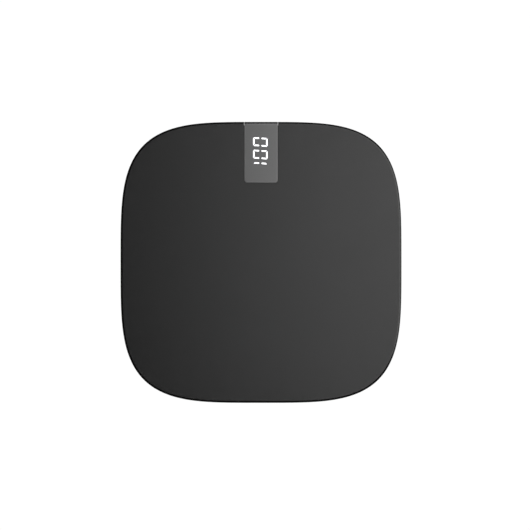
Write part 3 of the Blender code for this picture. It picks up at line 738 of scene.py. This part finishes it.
def turned(name, profile, sides, centre=(0, 0)):
    """A round body from the bottom disc of its profile, raised and scaled ring by ring."""
    bpy.ops.object.select_all(action="DESELECT")
    (radius, low), *rest = profile
    bpy.ops.mesh.primitive_circle_add(
        vertices=sides, radius=radius, fill_type="NGON", location=(*centre, low)
    )
    piece = new_piece(name)
    pick("FACE", lambda spot, normal: True)
    level = low
    for ring_radius, ring_level in rest:
        raise_selected(z=ring_level - level)
        share = ring_radius / radius
        middle = (*centre, ring_level)
        bpy.ops.transform.resize(value=(share, share, 1), center_override=middle)
        radius, level = ring_radius, ring_level
    tidy_normals()
    return piece


def moulded_rubber(name, shade):
    """Soft grey rubber: dull, with a fine mottled skin and a little dust in its tone."""
    material, nodes, links, shader, place = new_material(name)
    shader.inputs["Roughness"].default_value = 0.82
    shader.inputs["Sheen Weight"].default_value = 0.15
    mottle = noise(nodes, links, place, 260.0, 5.0)
    dark, light = (shade * 0.8, shade * 0.8, shade * 0.82), (shade * 1.2,) * 3
    links.new(ramp(nodes, links, mottle, dark, light), shader.inputs["Base Color"])
    bumped(nodes, links, shader, noise(nodes, links, place, 1800.0), 0.4, 0.00003)
    return material


cup_low, cup_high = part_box("foot_cup_1")
pad_low, pad_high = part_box("foot_pad_1")
cup_radius = (cup_high.x - cup_low.x) / 2
pad_radius = (pad_high.x - pad_low.x) / 2
pocket, pocket_top = pad_radius + 0.0003, pad_high.z + 0.0003
cup_lip = 0.0044
cup = turned(
    "foot_cup",
    [
        (pocket, pocket_top),
        (pocket, cup_low.z + 0.0003),
        (pocket + 0.0003, cup_low.z),
        (cup_radius - 0.0005, cup_low.z),
        (cup_radius - 0.00015, cup_low.z + 0.00015),
        (cup_radius, cup_low.z + 0.0005),
        (cup_radius, cup_lip - 0.0011),
        (cup_radius - 0.0002, cup_lip - 0.0005),
        (cup_radius - 0.0005, cup_lip - 0.0002),
        (cup_radius - 0.0011, cup_lip),
        (0.0068, cup_lip),
        (0.0062, cup_lip + 0.0002),
        (0.006, cup_lip + 0.0008),
        (0.006, 0.008),
        (0.0058, 0.0084),
        (0.0053, cup_high.z),
    ],
    64,
)
treads = [(0.0128, 0.0152), (0.0082, 0.0106), (0.0036, 0.006)]
pad = turned(
    "foot_pad",
    [
        (pad_radius - 0.0006, 0),
        (pad_radius - 0.0002, 0.0002),
        (pad_radius, 0.0006),
        (pad_radius, pad_high.z),
    ],
    64,
)
pad_rings = [rings("tread", [(0, 0)], inner, outer, -0.001, 0.0007) for inner, outer in treads]
choose(*pad_rings)
bpy.ops.object.join()
carve(pad, bpy.context.active_object)
cup_finish = textured_abs("foot_cup_black_abs", 0.012, 0.45)
pad_finish = moulded_rubber("foot_grey_rubber", 0.16)
for pattern, node, finish, slot in (
    (cup, "foot_cup", cup_finish, "black_casing"),
    (pad, "foot_pad", pad_finish, "grey_rubber"),
):
    smooth(pattern, 35)
    wear(pattern, finish)
    for number, (x, y) in enumerate(feet, start=1):
        piece = twin(pattern, f"{node}_{number}_round", Matrix.Translation((x, y, 0)))
        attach(piece, f"foot_{number}")
        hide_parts(f"{node}_{number}")
    bpy.data.objects.remove(pattern)


# ---- unit button ---------------------------------------------------------------------------------
# The soft button beside the battery door that changes the unit. Its flange is trapped inside the
# tray, and its face is dished for a fingertip.

button_radius = 0.0046
flange = (button_high.x - button_low.x) / 2
flange_bottom = floor_top + 0.0003
dish = [(0.0006, 0.0006), (0.0018, 0.00052), (0.0028, 0.00034), (0.0036, 0.00008), (0.004, 0.0)]
button = turned(
    "button_cap",
    [(radius, button_low.z + rise) for radius, rise in dish]
    + [
        (button_radius - 0.0002, button_low.z + 0.00015),
        (button_radius, button_low.z + 0.0006),
        (button_radius, flange_bottom),
        (flange, flange_bottom),
        (flange, button_high.z),
    ],
    48,
    tuple(button_spot),
)
smooth(button, 35)
wear(button, moulded_rubber("button_grey_rubber", 0.13))
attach(button, "unit_button")
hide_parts("unit_button")


# ---- case screws ---------------------------------------------------------------------------------
# Six zinc-plated pan-head screws with cross recesses, driven up through the tray's bosses into the
# cover's. Their threads cut into the cover's plain pilot holes.


def plated_steel(name, shade, roughness=0.28):
    """Bright zinc or nickel plate: fine drawn scratches and a faint cloudy bloom."""
    material, nodes, links, shader, place = new_material(name)
    shader.inputs["Metallic"].default_value = 1.0
    drawn = nodes.new("ShaderNodeMapping")
    drawn.inputs["Scale"].default_value = (1.0, 14.0, 1.0)
    links.new(place, drawn.inputs["Vector"])
    scratches = noise(nodes, links, drawn.outputs["Vector"], 500.0, 4.0)
    bloom = noise(nodes, links, place, 90.0)
    dark = (shade * 0.85, shade * 0.85, shade * 0.84)
    light = (shade * 1.08, shade * 1.08, shade * 1.05)
    links.new(ramp(nodes, links, bloom, dark, light), shader.inputs["Base Color"])
    shine = mapped(nodes, links, scratches, roughness - 0.08, roughness + 0.12)
    links.new(shine, shader.inputs["Roughness"])
    return material


screw_low, screw_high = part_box("case_screw_1")
head_seat, head_radius = 0.0087, 0.0028
core_radius, crest_radius, turns = 0.0011, 0.00138, 11
thread = []
thread_start, pitch = head_seat + 0.0006, 0.0009
for turn in range(turns):
    level = thread_start + pitch * turn
    thread.append((core_radius, level))
    thread.append((crest_radius, level + pitch / 2))
    thread.append((core_radius, level + pitch * 0.9))
screw = turned(
    "pan_head_screw",
    [
        (0.0018, screw_low.z),
        (0.0022, screw_low.z + 0.0001),
        (0.0026, screw_low.z + 0.0004),
        (head_radius, screw_low.z + 0.0009),
        (head_radius, head_seat - 0.0001),
        (0.0027, head_seat),
        (0.0013, head_seat),
    ]
    + thread
    + [(core_radius, thread_start + pitch * turns), (0.0005, screw_high.z)],
    24,
)


def cross_recess(name, low, depth, arm, blade):
    """A cross-shaped tool that tapers towards its tip, for driving a screw."""
    tool = blocks(name, [((-arm, -blade, low - 0.001), (arm, blade, low + depth))])
    carve(tool, blocks(name, [((-blade, -arm, low - 0.001), (blade, arm, low + depth))]), "UNION")
    choose(tool)
    pick("VERT", lambda spot: abs(spot.z - low - depth) < TINY)
    bpy.ops.transform.resize(value=(0.6, 0.6, 1), center_override=(0, 0, low + depth))
    bpy.ops.object.mode_set(mode="OBJECT")
    return tool


carve(screw, cross_recess("cross_recess", screw_low.z, 0.0012, 0.0017, 0.00034))
smooth(screw, 35)
wear(screw, plated_steel("zinc_plate", 0.55))
for name, (x, y) in zip(screw_names, screw_places):
    piece = twin(screw, f"{name}_cross", Matrix.Translation((x, y, 0)))
    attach(piece, "casing")
    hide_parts(name)
bpy.data.objects.remove(screw)


# ---- stiffener, load cells and clamps ------------------------------------------------------------
# A pressed steel sheet backs the cover. Each corner has a steel load cell with a film strain gauge
# on it, held down on its seat by an ivory nylon clamp over two melted stakes.


def mottled(name, dark, light, scale, roughness, relief=0.0, spread=0.06):
    """A material whose tone, shine and skin vary a little, returned with its nodes and shader."""
    material, nodes, links, shader, place = new_material(name)
    clouds = noise(nodes, links, place, scale, 4.0)
    links.new(ramp(nodes, links, clouds, dark, light, 0.3, 0.7), shader.inputs["Base Color"])
    shine = mapped(nodes, links, clouds, roughness - spread, roughness + spread)
    links.new(shine, shader.inputs["Roughness"])
    if relief:
        bumped(nodes, links, shader, noise(nodes, links, place, 2000.0), 0.4, relief)
    return material, nodes, links, shader, place


def dress(material, *names):
    """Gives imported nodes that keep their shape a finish."""
    for name in names:
        wear(bpy.data.objects[name], material)


def painted_over(nodes, links, shader, mask, colour):
    """Lays a second colour over a material's tone wherever a mask is 1."""
    paint = nodes.new("ShaderNodeMix")
    paint.data_type = "RGBA"
    paint.inputs[7].default_value = (*colour, 1)
    links.new(mask, paint.inputs[0])
    under = shader.inputs["Base Color"].links[0].from_socket
    links.new(under, paint.inputs[6])
    links.new(paint.outputs[2], shader.inputs["Base Color"])


def compared(nodes, links, value, operation, bound):
    """1 where a value is GREATER_THAN or LESS_THAN a bound, and 0 elsewhere."""
    test = nodes.new("ShaderNodeMath")
    test.operation = operation
    test.inputs[1].default_value = bound
    links.new(value, test.inputs[0])
    return test.outputs["Value"]


corners = range(1, 5)
dress(plated_steel("galvanised_sheet", 0.42, 0.38), "stiffener_plate")
dress(plated_steel("cell_steel", 0.5, 0.3), *[f"load_cell_{number}" for number in corners])
gauge, nodes, links, shader, place = mottled(
    "gauge_film", (0.62, 0.5, 0.3), (0.7, 0.58, 0.36), 300.0, 0.35
)
grid_lines = nodes.new("ShaderNodeTexWave")
grid_lines.wave_type = "BANDS"
grid_lines.inputs["Scale"].default_value = 900.0
links.new(place, grid_lines.inputs["Vector"])
foil = compared(nodes, links, grid_lines.outputs["Fac"], "GREATER_THAN", 0.6)
painted_over(nodes, links, shader, foil, (0.3, 0.22, 0.12))
dress(gauge, *[f"strain_gauge_{number}" for number in corners])
nylon = mottled("ivory_nylon", (0.68, 0.62, 0.5), (0.76, 0.71, 0.6), 120.0, 0.45, 0.00001)[0]
dress(nylon, *[f"cell_clamp_{number}" for number in corners])
dress(nylon, "sensor_socket_left", "sensor_socket_right")


# ---- leads ---------------------------------------------------------------------------------------
# Thin stranded leads in PVC: white from each load cell, red and black from the battery contacts.

white_pvc = mottled("white_pvc", (0.66, 0.66, 0.63), (0.76, 0.76, 0.73), 200.0, 0.42, 0.000006)[0]
red_pvc = mottled("red_pvc", (0.42, 0.015, 0.012), (0.52, 0.03, 0.02), 200.0, 0.4, 0.000006)[0]
black_pvc = mottled("black_pvc", (0.012, 0.012, 0.012), (0.03, 0.03, 0.03), 200.0, 0.4, 0.000006)[0]
dress(white_pvc, *[f"sensor_lead_{number}" for number in corners])
dress(red_pvc, "red_lead")
dress(black_pvc, "black_lead")


# ---- display stack -------------------------------------------------------------------------------
# Under the window: a milky film, a black mask with a light channel for each segment, and the board
# that carries the light-emitting chips, joined to the main board by a flat ribbon.

film = mottled("milky_film", (0.78, 0.79, 0.8), (0.86, 0.87, 0.88), 150.0, 0.5, 0.00001)[0]
dress(film, "segment_diffuser")
dress(textured_abs("mask_black_abs", 0.02, 0.6), "light_mask")


def solder_mask(name):
    """Green lacquer over glass board: copper tracks show paler through it, with tinned pads."""
    material, nodes, links, shader, place = mottled(
        name, (0.008, 0.075, 0.025), (0.014, 0.11, 0.038), 400.0, 0.3
    )
    tracks = nodes.new("ShaderNodeTexBrick")
    tracks.inputs["Scale"].default_value = 120.0
    tracks.inputs["Mortar Size"].default_value = 0.05
    tracks.inputs["Color1"].default_value = (0, 0, 0, 1)
    tracks.inputs["Color2"].default_value = (0, 0, 0, 1)
    tracks.inputs["Mortar"].default_value = (1, 1, 1, 1)
    pads = nodes.new("ShaderNodeTexVoronoi")
    pads.inputs["Scale"].default_value = 260.0
    links.new(place, tracks.inputs["Vector"])
    links.new(place, pads.inputs["Vector"])
    dots = compared(nodes, links, pads.outputs["Distance"], "LESS_THAN", 0.16)
    painted_over(nodes, links, shader, tracks.outputs["Color"], (0.03, 0.22, 0.07))
    painted_over(nodes, links, shader, dots, (0.55, 0.54, 0.5))
    return material


board_finish = solder_mask("green_solder_mask")
dress(board_finish, "display_board", "main_board")
ribbon, nodes, links, shader, place = mottled(
    "ribbon_film", (0.6, 0.62, 0.64), (0.72, 0.74, 0.76), 150.0, 0.35
)
wires = nodes.new("ShaderNodeTexWave")
wires.bands_direction = "X"
wires.inputs["Scale"].default_value = 310.0
links.new(place, wires.inputs["Vector"])
copper = compared(nodes, links, wires.outputs["Fac"], "GREATER_THAN", 0.55)
painted_over(nodes, links, shader, copper, (0.5, 0.34, 0.2))
dress(ribbon, "display_cable")


# ---- main board's parts --------------------------------------------------------------------------
# The controller is a flat black epoxy package with a moulded dot at its first pin. The unit switch
# is a small steel-cased push switch under the board, over the unit button.

epoxy, nodes, links, shader, place = mottled(
    "chip_epoxy", (0.012, 0.012, 0.013), (0.022, 0.022, 0.023), 700.0, 0.42, 0.000008
)
chip_low, chip_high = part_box("controller_chip")
dot_spot = nodes.new("ShaderNodeMapping")
dot_spot.inputs["Location"].default_value = (
    -chip_low.x - 0.0016,
    -chip_high.y + 0.0016,
    -chip_high.z,
)
reach = nodes.new("ShaderNodeVectorMath")
reach.operation = "LENGTH"
links.new(place, dot_spot.inputs["Vector"])
links.new(dot_spot.outputs["Vector"], reach.inputs[0])
dot = compared(nodes, links, reach.outputs["Value"], "LESS_THAN", 0.0006)
painted_over(nodes, links, shader, dot, (0.12, 0.12, 0.12))
dress(epoxy, "controller_chip")
dress(plated_steel("tinned_steel", 0.6, 0.25), "unit_switch_body", "board_screw_1", "board_screw_2")
dress(textured_abs("plunger_black", 0.02, 0.4), "unit_switch_plunger")


# ---- battery bay ---------------------------------------------------------------------------------
# Three cells in printed jackets, black with a copper-coloured shoulder at the positive end, between
# nickel-plated spring contacts.


def cell_jacket(name, middle_x, half, side):
    """The jacket's print by place along the cell; side is +1 when the positive end is at +X."""
    material, nodes, links, shader, place = mottled(
        name, (0.012, 0.012, 0.014), (0.024, 0.024, 0.027), 120.0, 0.24, 0.0, 0.03
    )
    shader.inputs["Coat Weight"].default_value = 0.4
    split = nodes.new("ShaderNodeSeparateXYZ")
    along = nodes.new("ShaderNodeMath")
    along.operation = "MULTIPLY_ADD"
    along.inputs[1].default_value = side / half
    along.inputs[2].default_value = -side * middle_x / half
    links.new(place, split.inputs["Vector"])
    links.new(split.outputs["X"], along.inputs[0])
    for edge, colour in ((0.42, (0.42, 0.2, 0.08)), (0.93, (0.55, 0.55, 0.53))):
        band = compared(nodes, links, along.outputs["Value"], "GREATER_THAN", edge)
        painted_over(nodes, links, shader, band, colour)
    links.new(band, shader.inputs["Metallic"])
    return material


for number, side in ((1, -1), (2, 1), (3, -1)):
    cell_low, cell_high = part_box(f"battery_{number}")
    middle_x, half = (cell_low.x + cell_high.x) / 2, (cell_high.x - cell_low.x) / 2
    dress(cell_jacket(f"cell_jacket_{number}", middle_x, half, side), f"battery_{number}")
contacts = ("contact_positive", "contact_negative", "contact_link_1", "contact_link_2")
dress(plated_steel("nickel_plate", 0.62, 0.26), *contacts)


# ---- stage ---------------------------------------------------------------------------------------
# A pale floor and a camera straight above. One broad soft light hangs above and to the right, and a
# narrow one at the right edge. Low ones light only the sides and the underside.

bpy.ops.object.select_all(action="DESELECT")
bpy.ops.mesh.primitive_plane_add(size=8, location=(0, 0, -0.0002))
floor = bpy.context.active_object
floor.name = "studio_floor"
paper = bpy.data.materials.new("white_paper")
paper.use_nodes = True
nodes, links = paper.node_tree.nodes, paper.node_tree.links
nodes.clear()
glow = nodes.new("ShaderNodeEmission")
glow.inputs["Strength"].default_value = 1.02
clear = nodes.new("ShaderNodeBsdfTransparent")
ray = nodes.new("ShaderNodeLightPath")
side = nodes.new("ShaderNodeNewGeometry")
front = nodes.new("ShaderNodeMath")
front.operation = "SUBTRACT"
front.use_clamp = True
blend = nodes.new("ShaderNodeMixShader")
out = nodes.new("ShaderNodeOutputMaterial")
links.new(ray.outputs["Is Camera Ray"], front.inputs[0])
links.new(side.outputs["Backfacing"], front.inputs[1])
links.new(front.outputs["Value"], blend.inputs["Fac"])
links.new(clear.outputs["BSDF"], blend.inputs[1])
links.new(glow.outputs["Emission"], blend.inputs[2])
links.new(blend.outputs["Shader"], out.inputs["Surface"])
floor.data.materials.append(paper)


def area_light(name, size, watts, place, turn=(0, 0, 0)):
    """A rectangular soft light, facing down unless it is turned."""
    data = bpy.data.lights.new(name, "AREA")
    data.shape = "RECTANGLE"
    data.size, data.size_y = size
    data.energy = watts
    light = bpy.data.objects.new(name, data)
    light.location, light.rotation_euler = place, turn
    bpy.context.scene.collection.objects.link(light)


area_light("overhead_panel", (1.2, 0.64), 6.6, (0.59, 0.1, 0.6))
for angle, watts in ((0, 1.6), (90, 1.1), (180, 1.1), (270, 1.1)):
    turn = math.radians(angle)
    place = (0.95 * math.cos(turn), 0.95 * math.sin(turn), -0.34)
    aim = (math.radians(110), 0, turn + math.pi / 2)
    area_light(f"low_fill_{angle}", (1.3, 0.35), watts, place, aim)
area_light("edge_strip", (0.7, 0.06), 0.6, (0.95, 0, 0.22), (math.radians(80), 0, math.pi / 2))
area_light("under_panel", (0.9, 0.9), 5.0, (0.1, 0.1, -0.55), (math.pi, 0, 0))

world = bpy.data.worlds.new("studio")
world.use_nodes = True
bpy.context.scene.world = world
sky, sky_links = world.node_tree.nodes, world.node_tree.links
sky.clear()
seen = sky.new("ShaderNodeLightPath")
dim = sky.new("ShaderNodeBackground")
dim.inputs["Strength"].default_value = 0.02
pale = sky.new("ShaderNodeBackground")
pale.inputs["Strength"].default_value = 1.0
choice = sky.new("ShaderNodeMixShader")
world_out = sky.new("ShaderNodeOutputWorld")
sky_links.new(seen.outputs["Is Camera Ray"], choice.inputs["Fac"])
sky_links.new(dim.outputs["Background"], choice.inputs[1])
sky_links.new(pale.outputs["Background"], choice.inputs[2])
sky_links.new(choice.outputs["Shader"], world_out.inputs["Surface"])
for ground in (dim, pale):
    ground.inputs["Color"].default_value = (1, 1, 1, 1)

camera_data = bpy.data.cameras.new("camera")
camera_data.type = "ORTHO"
camera_data.ortho_scale = 0.528
camera = bpy.data.objects.new("camera", camera_data)
camera.location = (0.00395, -0.00263, 2.0)
bpy.context.scene.collection.objects.link(camera)
bpy.context.scene.camera = camera
bpy.context.scene.view_settings.view_transform = "Standard"
